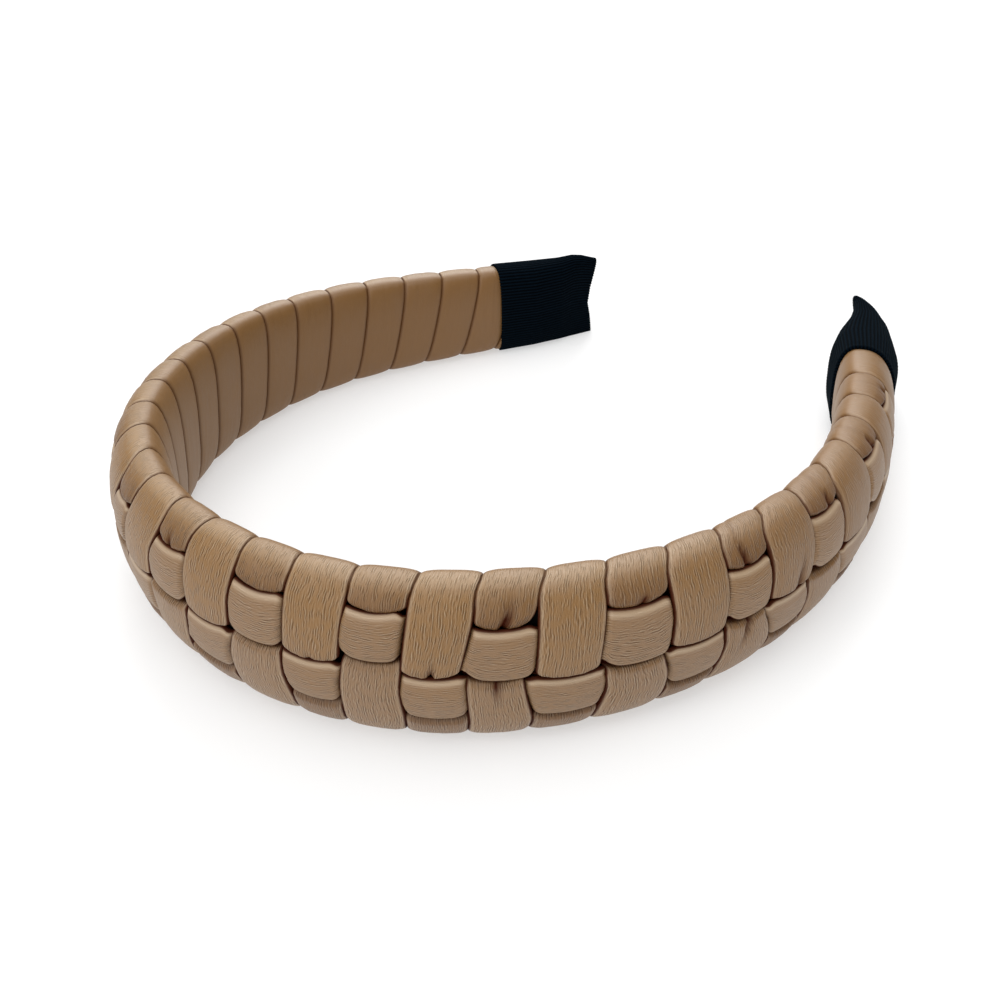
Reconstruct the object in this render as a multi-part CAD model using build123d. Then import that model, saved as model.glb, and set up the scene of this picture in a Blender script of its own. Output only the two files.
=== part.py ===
from build123d import *
import os
from math import copysign, cos, pi, radians, sin, sqrt, tan

os.makedirs("parts", exist_ok=True)

# A padded headband lying on its lower edge, open towards +Y. All lengths are in millimetres.
# A strip of leather is wound round a padded hoop, one turn beside the next. On the front the turns pass
# over and under two long strips that run from tip to tip, and a ribbon sleeve closes each tip.

# Strips and weave
PITCH = 10.0              # along the band, from one turn of the wrap to the next
TURNS = 34                # turns that show between the two ribbons
STRIP_GAP = 0.6           # between the edges of neighbouring turns, and of the two long strips
EDGE_THICKNESS = 0.6      # of a strip at its turned edges
CROWN = 0.7               # by which a strip's middle stands above its edges
THINNEST = 0.1            # edge of a strip where it passes from over to under
SWAY = 1.1                # a strip's way above or below the middle of the weave
SHOULDER = 0.25           # share of a strip's width from its edge to its shoulder
NARROWEST = 1.2           # width at which the wound strip ends beside each ribbon
BACK_SLANT = 0.64         # share of a pitch that a turn advances on its way down the inner face
TOP_SHIFT = -0.40         # pitches from the crown's middle to the edge of the middle turn, on the top edge
PITCH_DRIFT = 0.028       # share by which the pitch grows from the crown to the last turn on the right
ROW_PITCH = 9.9           # height from the middle of one long strip to the middle of the other, at the crown
ROW_RAISE = 1.8           # of the line between the long strips above the band's mid height, at the crown

# Hoop
ARM_LENGTH = 198.0        # along the centre line, from the crown to each tip
BAND_WIDTH = 33.4         # height of the lying band at the crown
FRONT_DEPTH = 7.6         # from the centre line to the outer face
BACK_DEPTH = 5.2          # from the centre line to the inner face
FRONT_ROUND = 0.95        # 1 is an ellipse, less is nearer to a box
BACK_ROUND = 0.70
LEAN = 3.2                # degrees by which the band's upper edge leans inwards
CLEARANCE = 0.2           # between a soft piece and what it is wound on or butts against

# Core
CORE_SIDE_INSET = 1.75    # of the core under the strips on the edges and the inner face
CORE_FRONT_INSET = 5.1    # of the core under the weave
CORE_SPACING = 14.0       # between the core's sections

# Ribbon sleeves
RIBBON_LENGTH = 28.0      # from the last turn to the pinched end
RIBBON_WALL = 1.2

# Turning of the centre line, in degrees over BEND_SPAN: share of the arm, left arm, right arm
BEND_SPAN = 10.0
BENDS = (
    (0.0, 7.7, 8.7),
    (0.2, 10.1, 7.9),
    (0.4, 9.3, 6.8),
    (0.6, 8.2, 6.6),
    (0.8, 0.8, 3.1),
    (1.0, 0.0, 0.2),
)
# Width of the band: share of the arm, share of BAND_WIDTH
TAPER = ((0.0, 1.0), (0.25, 0.97), (0.5, 0.88), (1.0, 0.64))
# Ribbon sleeve: share of RIBBON_LENGTH from the mouth, share of the band's depth, share of its width
PINCH = ((0.0, 1.0, 1.0), (0.3, 1.02, 1.0), (0.6, 0.75, 1.0), (0.85, 0.38, 1.0), (1.0, 0.18, 1.03))
CAVITY_END = 0.72         # share of RIBBON_LENGTH that is hollow
PLUG_END = 0.70           # share of RIBBON_LENGTH that the core reaches into the sleeve
# Places of one turn round the section, in degrees: 0 is the front, 90 the top edge, 180 the inner face
BACK_AND_BOTTOM = (-180, -140, -115, -96, -76, -54, -39)
ROWS_UPWARD = (1.5, 1.25, 1.0, 0.75, 0.5, 0.25, 0.0, -0.25, -0.5)   # 0 upper row, 1 lower row
TOP_AND_BACK = (57, 74, 92, 110, 140)
# Corners of the arcs that make the core's and the sleeves' sections, in degrees
ARC_ENDS = (-60, 60, 125, 235)
STEPS_PER_PITCH = 4       # sections of a long strip
LINE_STEP = 1.0           # of the centre line's working points


def between(rows, share, column=1):
    """Value of a table's column at a share, in a straight line between its rows."""
    for low, high in zip(rows, rows[1:]):
        if share <= high[0]:
            break
    part = (share - low[0]) / (high[0] - low[0])
    return low[column] + part * (high[column] - low[column])


def arm_path(column):
    """Points of one arm's centre line from the crown to the tip: x, y and heading."""
    steps = round(ARM_LENGTH / LINE_STEP)
    step = ARM_LENGTH / steps
    points = [(0.0, 0.0, 0.0)]
    for i in range(steps):
        x, y, heading = points[-1]
        turn = radians(between(BENDS, (i + 0.5) / steps, column)) * step / BEND_SPAN
        middle = heading + turn / 2
        points.append((x + step * cos(middle), y + step * sin(middle), heading + turn))
    return points


LEFT_ARM, RIGHT_ARM = arm_path(1), arm_path(2)


def centre(s):
    """Centre line at a distance from the crown, negative on the left arm: x, y and heading."""
    arm = RIGHT_ARM if s > 0 else LEFT_ARM
    place = min(abs(s) / ARM_LENGTH, 1.0) * (len(arm) - 1)
    i = min(int(place), len(arm) - 2)
    x, y, heading = (a + (place - i) * (b - a) for a, b in zip(arm[i], arm[i + 1]))
    return (x, y, heading) if s > 0 else (-x, y, -heading)


def height_share(angle):
    """Height of a place on the section, from -1 at the lower edge to 1 at the upper edge."""
    rounding = FRONT_ROUND if abs(angle) <= 90 else BACK_ROUND
    return copysign(abs(sin(radians(angle))) ** rounding, sin(radians(angle)))


def front_angle(share):
    """Place on the front, in degrees, at a share of the half width."""
    # The inverse of height_share by halving, because the section is a power of a sine
    low, high = -90.0, 90.0
    for _ in range(30):
        angle = (low + high) / 2
        low, high = (angle, high) if height_share(angle) < share else (low, angle)
    return angle


def skin(s, angle, depth, deep=1.0, wide=1.0):
    """Point at a depth under the band's outer surface."""
    x, y, heading = centre(s)
    half = BAND_WIDTH / 2 * between(TAPER, abs(s) / ARM_LENGTH) * wide
    c, d = cos(radians(angle)), sin(radians(angle))
    reach, rounding = (FRONT_DEPTH * deep, FRONT_ROUND) if c > 0 else (BACK_DEPTH * deep, BACK_ROUND)
    across, up = abs(c) ** rounding, abs(d) ** rounding
    # The surface's normal, from the section's own formula
    power = 2 / rounding - 1
    normal = Vector(across ** power / reach, up ** power / half).normalized()
    u = copysign(reach * across - depth * normal.X, c)
    z = copysign(half * up - depth * normal.Y, d)
    u -= z * tan(radians(LEAN))
    return Vector(x + sin(heading) * u, y - cos(heading) * u, half + z)


def slip(angle):
    """Pitches by which an edge of the wrap is ahead of its place on the top edge of the band."""
    drop = (1 - height_share(angle)) / 2
    if angle > 90:
        return BACK_SLANT * drop
    if angle < -90:
        return BACK_SLANT * drop - 1
    return (BACK_SLANT - 1) * drop


def along(turn):
    """Distance from the crown of a number of turns, which is negative on the left arm."""
    return PITCH * turn * (1 + PITCH_DRIFT * turn / (TURNS / 2))


def turn_at(s):
    """Number of turns from the crown at a distance, the inverse of along."""
    bend = PITCH_DRIFT / (TURNS / 2)
    return (sqrt(1 + 4 * bend * s / PITCH) - 1) / (2 * bend)


FIRST_TURN = TOP_SHIFT - TURNS / 2
LEFT_MOUTH, RIGHT_MOUTH = along(FIRST_TURN), along(FIRST_TURN + TURNS)
OVER_DEPTH = CROWN + EDGE_THICKNESS + THINNEST / 2
ROW_SHARE = ROW_PITCH / (BAND_WIDTH / 2)
UPPER_ROW = ROW_RAISE / (BAND_WIDTH / 2) + ROW_SHARE / 2
STRIP_GAP_SHARE = STRIP_GAP / PITCH / 2


def depths(level):
    """Depth of a strip's bottom, edges and shoulders: level 1 is over, -1 under."""
    middle = OVER_DEPTH + (1 - level) * SWAY
    bottom = middle + EDGE_THICKNESS * max(-level, 0) + THINNEST / 2
    edge = middle - EDGE_THICKNESS * max(level, 0) - THINNEST / 2
    return bottom, edge, edge - CROWN


def wrap_level(turn, angle):
    """Level of a turn of the wrap at a place round the section."""
    if abs(angle) > 90:
        return 1.0
    over = 1 if turn % 2 else -1
    row = (UPPER_ROW - height_share(angle)) / ROW_SHARE
    if row < 0:
        return 1.0 if over > 0 else -cos(pi * max(row, -1))
    if row > 1:
        return 1.0 if over < 0 else cos(pi * min(row, 2))
    return over * cos(pi * row)


def long_level(s, angle, row):
    """Level of a long strip, row 0 or 1, at a distance along the band and a place on the front."""
    turn = turn_at(s) - FIRST_TURN - slip(angle)
    return sin(pi * turn) * (1 - 2 * row)


def arc_section(s, depth, deep=1.0, wide=1.0):
    """Closed section of four arcs, at a depth that is a function of the place."""
    edges = []
    for start, end in zip(ARC_ENDS, ARC_ENDS[1:] + (ARC_ENDS[0] + 360,)):
        arc = [skin(s, a, depth(a), deep, wide) for a in (start, (start + end) / 2, end)]
        edges.append(Edge.make_three_point_arc(*arc))
    return Wire(edges)


def core_depth(angle):
    """Depth of the core under the band's outer surface, most at the middle of the front."""
    front = max(cos(radians(angle)), 0)
    return CORE_SIDE_INSET + (CORE_FRONT_INSET - CORE_SIDE_INSET) * front


def flattened(points):
    """Corners of a section, moved into the plane of three of them."""
    first, second, third = points[0], points[1], points[3]
    normal = (second - first).cross(third - first).normalized()
    return [point - normal * (point - first).dot(normal) for point in points]


def wrap_strip():
    """The wound strip, as straight walls from one place round the section to the next."""
    angles = list(BACK_AND_BOTTOM)
    angles += [front_angle(UPPER_ROW - row * ROW_SHARE) for row in ROWS_UPWARD]
    angles += list(TOP_AND_BACK)
    sections = []
    for turn in range(-1, TURNS + 1):
        for angle in angles:
            edges = (turn + STRIP_GAP_SHARE, turn + 1 - STRIP_GAP_SHARE)
            left, right = (along(FIRST_TURN + edge + slip(angle)) for edge in edges)
            # Each end of the strip is cut beside its ribbon
            left = max(left, LEFT_MOUTH + CLEARANCE)
            right = min(right, RIGHT_MOUTH - CLEARANCE)
            if right - left < NARROWEST:
                continue
            bottom, edge, crest = depths(wrap_level(turn, angle))
            inner = (right - left) * SHOULDER
            outline = ((left, bottom), (right, bottom), (right, edge), (right - inner, crest),
                       (left + inner, crest), (left, edge))
            sections.append([skin(s, angle, depth) for s, depth in outline])
    sections[0], sections[-1] = flattened(sections[0]), flattened(sections[-1])
    return Solid.make_loft([Wire.make_polygon(points, close=True) for points in sections], ruled=True)


def long_strip(row):
    """One of the two strips that run from ribbon to ribbon through the wrap."""
    middle = UPPER_ROW - row * ROW_SHARE
    half = ROW_SHARE / 2 * (1 - STRIP_GAP / ROW_PITCH)
    low, high = middle - half, middle + half
    inner = 2 * half * SHOULDER
    start, finish = LEFT_MOUTH + CLEARANCE, RIGHT_MOUTH - CLEARANCE
    steps = round((finish - start) / PITCH * STEPS_PER_PITCH)
    sections = []
    for i in range(steps + 1):
        s = start + (finish - start) * i / steps
        points = []
        for share, layer in ((low, 0), (high, 0), (high, 1), (high - inner, 2), (low + inner, 2), (low, 1)):
            angle = front_angle(share)
            points.append(skin(s, angle, depths(long_level(s, angle, row))[layer]))
        sections.append(Wire.make_polygon(points, close=True))
    return Solid.make_loft(sections, ruled=True)


def sleeve_loft(side, depth, end):
    """Solid of the sleeve's shape at a depth, from the mouth to a share of the ribbon's length."""
    mouth = LEFT_MOUTH if side < 0 else RIGHT_MOUTH
    shares = [row[0] for row in PINCH if row[0] < end] + [end]
    sections = []
    for share in shares:
        s = mouth + side * share * RIBBON_LENGTH
        deep, wide = between(PINCH, share, 1), between(PINCH, share, 2)
        sections.append(arc_section(s, lambda angle: depth, deep, wide))
    return Solid.make_loft(sections)


def band_core():
    """The padded hoop that carries the strips, with a thicker plug in each ribbon sleeve."""
    steps = round((RIGHT_MOUTH - LEFT_MOUTH) / CORE_SPACING)
    places = [LEFT_MOUTH + (RIGHT_MOUTH - LEFT_MOUTH) * i / steps for i in range(steps + 1)]
    hoop = Solid.make_loft([arc_section(s, core_depth) for s in places])
    plugs = [sleeve_loft(side, RIBBON_WALL + CLEARANCE, PLUG_END) for side in (-1, 1)]
    return hoop.fuse(*plugs)


def tip_ribbon(side):
    """Ribbon sleeve, pinched flat at its closed end."""
    return sleeve_loft(side, 0.0, 1.0).cut(sleeve_loft(side, RIBBON_WALL, CAVITY_END))


pieces = {
    "band_core": band_core(),
    "wrap_strip": wrap_strip(),
    "long_strip_upper": long_strip(0),
    "long_strip_lower": long_strip(1),
    "tip_ribbon_left": tip_ribbon(-1),
    "tip_ribbon_right": tip_ribbon(1),
}

# The origin goes to the middle of the floor under the whole band
box = Compound(list(pieces.values())).bounding_box()
to_origin = Location((-box.center().X, -box.center().Y, -box.min.Z))
for name, piece in pieces.items():
    export_step(piece.moved(to_origin), f"parts/{name}.step")
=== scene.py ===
import bpy
import numpy as np
from math import cos, pi, radians, sin, tan
from mathutils import Matrix, Vector


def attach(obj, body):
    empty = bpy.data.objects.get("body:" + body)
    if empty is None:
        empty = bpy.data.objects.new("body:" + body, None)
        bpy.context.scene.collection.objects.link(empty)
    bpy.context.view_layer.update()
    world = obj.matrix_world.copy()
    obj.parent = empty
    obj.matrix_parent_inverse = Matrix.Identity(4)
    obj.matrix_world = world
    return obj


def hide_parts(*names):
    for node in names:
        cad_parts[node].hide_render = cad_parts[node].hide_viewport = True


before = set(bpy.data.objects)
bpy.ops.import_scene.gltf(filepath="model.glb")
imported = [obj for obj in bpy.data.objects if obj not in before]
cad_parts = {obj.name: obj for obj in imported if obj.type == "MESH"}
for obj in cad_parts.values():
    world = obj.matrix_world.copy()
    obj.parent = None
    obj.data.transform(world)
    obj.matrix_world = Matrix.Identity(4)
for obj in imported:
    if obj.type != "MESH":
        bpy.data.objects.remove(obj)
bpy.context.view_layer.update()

# The padded core: a springy plastic hoop in a layer of dark foam, bent to the head and narrower at its
# tips. The strips are wound on it and hide it, but for a little shadow at the corners of the weave.
FOAM_BROWN, FOAM_ROUGHNESS = "#120906", 0.95


def linear(hex_colour):
    """Linear colour of an sRGB hex value."""
    channels = [int(hex_colour[i:i + 2], 16) / 255 for i in (1, 3, 5)]
    return tuple(c / 12.92 if c <= 0.04045 else ((c + 0.055) / 1.055) ** 2.4 for c in channels) + (1.0,)


def node(tree, kind, settings=None, **inputs):
    """Adds a node with its settings. Its inputs, by name or number, get values, sockets or other nodes."""
    made = tree.nodes.new(kind)
    for key, value in (settings or {}).items():
        setattr(made, key, value)
    for key, value in inputs.items():
        by_number = key[0] == "i" and key[1:].isdigit()
        socket = made.inputs[int(key[1:])] if by_number else made.inputs[key.replace("_", " ")]
        if isinstance(value, bpy.types.Node):
            value = value.outputs[0]
        if isinstance(value, bpy.types.NodeSocket):
            tree.links.new(value, socket)
        else:
            socket.default_value = value
    return made


def material(name):
    """A new material with no nodes yet, and its tree."""
    made = bpy.data.materials.new(name)
    made.use_nodes = True
    made.node_tree.nodes.clear()
    return made, made.node_tree


# Moulded polyurethane foam: its open cells make it matt, and it swallows nearly all light.
foam, tree = material("foam, polyurethane")
shader = node(tree, "ShaderNodeBsdfPrincipled", Base_Color=linear(FOAM_BROWN), Roughness=FOAM_ROUGHNESS)
node(tree, "ShaderNodeOutputMaterial", Surface=shader)
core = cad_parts["band_core"]
core.data.materials.clear()
core.data.materials.append(foam)

# The wound strip: one long strip of soft faux leather, its edges turned under over a thin filling.
# It is wound round the padded hoop edge to edge, and on the front it passes over and under the two
# long strips. Odd turns start over the upper one, and even turns under it.
MM = 0.001                # metres in a millimetre, the unit of all sizes that name no other
ARM_LENGTH, ARM_STEPS = 198.0, 198
TIP_RUN = 12.0            # by which the centre line runs straight on past each tip
BEND_SPAN = 10.0          # the length that the bends below are given for
# Degrees of turning over BEND_SPAN, at a share of the arm: left arm, right arm
BENDS = np.array((
    (0.0, 7.7, 8.7),
    (0.2, 10.1, 7.9),
    (0.4, 9.3, 6.8),
    (0.6, 8.2, 6.6),
    (0.8, 0.8, 3.1),
    (1.0, 0.0, 0.2),
))
BAND_WIDTH = 33.4         # from the band's lower edge to its upper one, at the crown
# Share of that width, at a share of the arm
TAPER = np.array(((0.0, 1.0), (0.25, 0.97), (0.5, 0.88), (1.0, 0.64)))
FRONT_DEPTH, BACK_DEPTH = 7.6, 5.2      # from the section's middle to the front and to the inner face
FRONT_ROUND, BACK_ROUND = 0.95, 0.70    # 1 is half an ellipse, and less is squarer
LEAN = radians(3.2)                     # by which the upper edge leans in
CROWN = np.array((-5.693, -73.41, 0.0))     # the crown's middle in the part's frame
LEAST = 1e-9                            # stands in for zero where a power of it is taken


def arm_line(column):
    """One arm's centre line: x, y and heading at each millimetre from the crown."""
    step = ARM_LENGTH / ARM_STEPS
    tip_steps = round(TIP_RUN / step)
    share = (np.arange(ARM_STEPS) + 0.5) / ARM_STEPS
    turning = np.radians(np.interp(share, BENDS[:, 0], BENDS[:, column])) * step / BEND_SPAN
    turning = np.concatenate((turning, np.zeros(tip_steps)))
    heading = np.concatenate(((0.0,), np.cumsum(turning)))
    middle = heading[:-1] + turning / 2
    x = np.concatenate(((0.0,), np.cumsum(step * np.cos(middle))))
    y = np.concatenate(((0.0,), np.cumsum(step * np.sin(middle))))
    return np.array((x, y, heading))


left_arm, right_arm = arm_line(1), arm_line(2)
left_arm[0] *= -1
left_arm[2] *= -1
LINE = np.hstack((left_arm[:, :0:-1], right_arm))
LINE_S = np.linspace(-ARM_LENGTH - TIP_RUN, ARM_LENGTH + TIP_RUN, LINE.shape[1])


def height_share(angle):
    """Height on the section, -1 to 1, of a place in degrees: 0 the front, 90 the top, 180 the inner face."""
    rounding = np.where(np.abs(angle) <= 90, FRONT_ROUND, BACK_ROUND)
    up = np.sin(np.radians(angle))
    return np.sign(up) * np.abs(up) ** rounding


def front_angle(share):
    """The place on the front, in degrees, at a height."""
    return np.degrees(np.arcsin(np.sign(share) * np.abs(share) ** (1 / FRONT_ROUND)))


def skin(s, angle, depth, deep=1.0, wide=1.0):
    """Points in the part's frame, in metres, at s millimetres from the crown, a place round the section
    in degrees and a depth under the outer surface. The section is as deep and wide as two shares say."""
    s, angle, depth = np.broadcast_arrays(s, angle, depth)
    x, y, heading = (np.interp(s, LINE_S, row) for row in LINE)
    half = BAND_WIDTH / 2 * np.interp(np.abs(s) / ARM_LENGTH, TAPER[:, 0], TAPER[:, 1]) * wide
    cosine, sine = np.cos(np.radians(angle)), np.sin(np.radians(angle))
    rounding = np.where(cosine > 0, FRONT_ROUND, BACK_ROUND)
    reach = np.where(cosine > 0, FRONT_DEPTH, BACK_DEPTH) * deep
    out, up = (np.maximum(np.abs(part), LEAST) ** rounding for part in (cosine, sine))
    power = 2 / rounding - 1
    normal_out, normal_up = out ** power / reach, up ** power / half
    size = np.hypot(normal_out, normal_up)
    out = np.sign(cosine) * (reach * out - depth * normal_out / size)
    up = np.sign(sine) * (half * up - depth * normal_up / size)
    out = out - up * tan(LEAN)
    points = np.stack((x + np.sin(heading) * out, y - np.cos(heading) * out, half + up), axis=-1)
    return (points + CROWN) * MM


PITCH, TURNS = 10.0, 34   # from turn to turn at the crown, and how many turns show
TOP_SHIFT = -0.40         # pitches by which the turns are off the middle, on the top edge
PITCH_DRIFT = 0.028       # share by which the right arm's turns are spread and the left arm's drawn together
BACK_SLANT = 0.64         # pitches that a turn advances on the inner face, where the rest is on the front
FIRST_TURN = TOP_SHIFT - TURNS / 2      # the first turn's left edge, in turns from the crown
ROW_PITCH = 9.9           # from the middle of one long strip to the middle of the other, at the crown
ROWS_UP = 1.8             # by which the two long strips lie above the middle of the band
ROW_SHARE = ROW_PITCH / (BAND_WIDTH / 2)
UPPER_ROW = ROWS_UP / (BAND_WIDTH / 2) + ROW_SHARE / 2
LATE_MOUTH = 6.0          # by which the right sleeve starts late, after a longer last turn


def along(turn):
    """Distance from the crown of a number of turns, in millimetres, negative on the left arm."""
    return PITCH * turn * (1 + PITCH_DRIFT * turn / (TURNS / 2))


LEFT_MOUTH, RIGHT_MOUTH = along(FIRST_TURN), along(FIRST_TURN + TURNS) + LATE_MOUTH


def slip(angle):
    """Pitches by which an edge of the wrap is ahead of its place on the top edge of the band."""
    drop = (1 - height_share(angle)) / 2
    on_inner_face = BACK_SLANT * drop - np.where(angle < 0, 1, 0)
    return np.where(np.abs(angle) > 90, on_inner_face, (BACK_SLANT - 1) * drop)


SWAY = 1.1                # half of what a strip sinks from over to under
FILLING = 0.7             # thickness of the padding in a strip
FOLDED_EDGE = 0.6         # thickness of the turned edges, where nothing presses them
THINNEST = 0.1            # thickness of the film by itself
OVER_DEPTH = FILLING + FOLDED_EDGE + THINNEST / 2


def layer(level):
    """Depth of a strip's back and of its middle's front, where level 1 is over and -1 is under."""
    middle = OVER_DEPTH + (1 - level) * SWAY
    back = middle + FOLDED_EDGE * np.maximum(-level, 0) + THINNEST / 2
    front = middle - FOLDED_EDGE * np.maximum(level, 0) - THINNEST / 2 - FILLING
    return back, front


DIVE_RUN = 1.4                     # in which a strip dives, above and again below the weave's middle
LATE_DIVE = 0.18                   # by which it dives late, so that it meets the strip over it
DIVE_POWER = 2.6                   # the higher, the more sudden


def dive(distance):
    """Level of a strip at a distance in millimetres from where it goes under, positive where it shows."""
    distance = distance + LATE_DIVE
    return np.sign(distance) * (1 - np.clip(1 - np.abs(distance) / DIVE_RUN, 0, 1) ** DIVE_POWER)


# Where the turns are off their even spacing: edge between two turns, its shift in pitches
SPACING = np.array((
    (0, -0.40), (2, -0.29), (5, -0.10), (6, -0.02), (12, -0.02), (13.5, -0.10), (16, 0.0), (19, -0.07),
    (21, 0.02), (24, 0.06), (25, 0.14), (27, 0.16), (28, 0.08), (29, 0.27), (31, 0.35), (33, 0.33),
    (34, 0.75),
))
# How the turns lean on the front: edge between two turns, its shift in pitches at each of UPPER_PLACES,
# where the turns meet over the upper long strip, and of LOWER_PLACES, where they meet over the lower one
UPPER_PLACES, LOWER_PLACES = (-0.6, -0.1, 0.42), (0.58, 1.0, 1.6)
LEANS = np.array((
    (12, 0.00, 0.00, 0.00, 0.00, 0.00, 0.00),
    (13, 0.13, 0.00, 0.00, 0.00, 0.00, 0.00),
    (14, 0.35, 0.15, 0.00, 0.00, 0.00, 0.00),
    (15, 0.10, -0.05, -0.04, 0.00, 0.00, 0.00),
    (16, 0.12, -0.05, 0.01, 0.00, 0.05, 0.05),
    (17, -0.04, 0.00, 0.12, 0.09, 0.08, -0.02),
    (18, 0.05, 0.03, 0.10, 0.19, 0.10, 0.13),
    (19, 0.05, 0.10, 0.14, 0.10, 0.12, 0.25),
    (20, 0.00, -0.02, 0.00, 0.07, 0.04, 0.08),
    (21, -0.08, -0.09, -0.09, -0.10, -0.11, 0.00),
    (22, -0.13, -0.20, -0.26, -0.14, -0.10, -0.02),
    (23, -0.18, -0.17, -0.16, -0.34, -0.25, -0.10),
    (24, -0.18, -0.21, -0.24, -0.12, -0.05, -0.10),
    (25, -0.22, -0.15, -0.17, -0.27, -0.13, -0.08),
    (26, -0.20, -0.18, -0.24, -0.20, -0.12, -0.17),
    (27, -0.32, -0.27, -0.31, -0.44, -0.25, -0.06),
    (28, -0.13, -0.15, -0.25, -0.30, -0.19, -0.19),
    (29, -0.35, -0.35, -0.40, -0.52, -0.33, -0.23),
    (30, -0.15, -0.14, -0.32, -0.27, -0.17, -0.17),
    (32, 0.00, -0.07, -0.05, 0.00, 0.00, 0.00),
    (34, 0.00, 0.00, 0.00, 0.00, 0.00, 0.00),
))
LEAN_ROUNDING = 0.12      # rows up and down over which a lean's corners are rounded
LEANS_MEET = 0.46, 0.54   # rows between which the upper leans pass into the lower ones
LEANS_FADE = 105, 60      # degrees from the front, where the leans have ended and where they are whole
# Rows where the strips cross, 0 the upper long strip's middle and 1 the lower one's: turn, top of the
# upper strip, line between the two, bottom of the lower strip
CROSSINGS = np.array((
    (14, -0.50, 0.50, 1.50),
    (16, -0.55, 0.47, 1.50),
    (18, -0.60, 0.42, 1.48),
    (19, -0.60, 0.41, 1.40),
    (20, -0.66, 0.24, 1.45),
    (21, -0.50, 0.48, 1.53),
    (22, -0.43, 0.56, 1.55),
    (24, -0.53, 0.63, 1.60),
    (26, -0.57, 0.50, 1.50),
    (28, -0.70, 0.48, 1.50),
))
TOP_CROSSING, MIDDLE_CROSSING, LOW_CROSSING = -0.5, 0.5, 1.5     # their places along a turn
TOP_ROW, BOTTOM_ROW = (UPPER_ROW - 1) / ROW_SHARE, (UPPER_ROW + 1) / ROW_SHARE


def smooth(value, start, end):
    """0 at the start, 1 at the end, and smooth between."""
    part = np.clip((value - start) / (end - start), 0, 1)
    return part * part * (3 - 2 * part)


def rising(value, strength, start, end):
    """A strength that is 0 at the start, full at the end, and smooth between."""
    return strength * smooth(value, start, end)


def lean_at(edge, place, knots, first_column):
    """Shift of an edge from a part of LEANS, rounded where its slope changes."""
    lean = 0.0
    for i, corner in enumerate(np.eye(len(knots))):
        weights = [np.interp(place + d, knots, corner) for d in (-LEAN_ROUNDING, 0, LEAN_ROUNDING)]
        lean = lean + np.mean(weights, axis=0) * np.interp(edge, LEANS[:, 0], LEANS[:, first_column + i])
    return lean


def edge_turn(edge, angle, place):
    """Turns from the crown to an edge between two turns, at a place round the section and along the turn."""
    upper = lean_at(edge, place, UPPER_PLACES, 1)
    lower = lean_at(edge, place, LOWER_PLACES, 1 + len(UPPER_PLACES))
    lean = (upper + (lower - upper) * smooth(place, *LEANS_MEET)) * smooth(np.abs(angle), *LEANS_FADE)
    # On the inner face a turn starts with the spacing of the turn before, and has its own from the lower edge
    before = np.clip(-np.asarray(angle) / 90 - 1, 0, 1)
    even = np.interp(edge - before, SPACING[:, 0], SPACING[:, 1])
    return FIRST_TURN + edge + slip(angle) + even + lean


def crossing_row(turn, place):
    """Row of a place on a turn, moved with the turn's three crossings."""
    knots = (TOP_ROW, TOP_CROSSING, MIDDLE_CROSSING, LOW_CROSSING, BOTTOM_ROW)
    row = np.array(place, dtype=float)
    for column in (1, 2, 3):
        weight = np.interp(place, knots, np.eye(len(knots))[column])
        row = row + weight * (np.interp(turn, CROSSINGS[:, 0], CROSSINGS[:, column]) - knots[column])
    return row


# A strip's section, from -1 at one edge to 1 at the other: its front, then two points on its back
FRONT_POINTS = 29
EDGE_CROWDING = 0.8       # the lower, the nearer the front's points are to the edges
BACK_EDGE = 0.99          # where the back's two points are
FULLNESS = 3.0            # 2 is half an ellipse, and more has a flatter middle
EDGE_RISE = 0.28          # share of the thickness at which the edges stand
FOLD_LINE, FOLD_SPREAD = 0.90, 0.045     # where the film is stretched over the turned edges, and how far
front = np.sin(np.linspace(-pi / 2, pi / 2, FRONT_POINTS))
ACROSS = np.concatenate((np.sign(front) * np.abs(front) ** EDGE_CROWDING, (BACK_EDGE, -BACK_EDGE)))
IS_BACK = np.concatenate((np.zeros(FRONT_POINTS), np.ones(2)))
EDGE_BAND = np.exp(-((np.abs(ACROSS) - FOLD_LINE) / FOLD_SPREAD) ** 2) * (1 - IS_BACK)


def strip_depth(level, fullness, edge_rise):
    """Depth of each ring's points, from its level, its fullness and the share of the rise at its edges."""
    back, front = layer(level)
    rise = (1 - np.abs(ACROSS)[None, :] ** fullness) ** (1 / fullness)
    rise = np.where(IS_BACK[None, :] > 0, 0.0, edge_rise + (1 - edge_rise) * rise)
    return back - (back - front) * rise


def spread(low, high):
    """A value for each of the rings' points, from one edge of the strip to the other."""
    return low[:, None] + (high - low)[:, None] * (ACROSS[None, :] + 1) / 2


def lengths_along(points):
    """Millimetres run along a line of points, at each of them."""
    return np.concatenate(((0.0,), np.cumsum(np.linalg.norm(np.diff(points, axis=0), axis=1)))) / MM


def add_object(name, data):
    """Adds an object made of a mesh, a light or a camera to the scene."""
    made = bpy.data.objects.new(name, data)
    bpy.context.scene.collection.objects.link(made)
    return made


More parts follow.
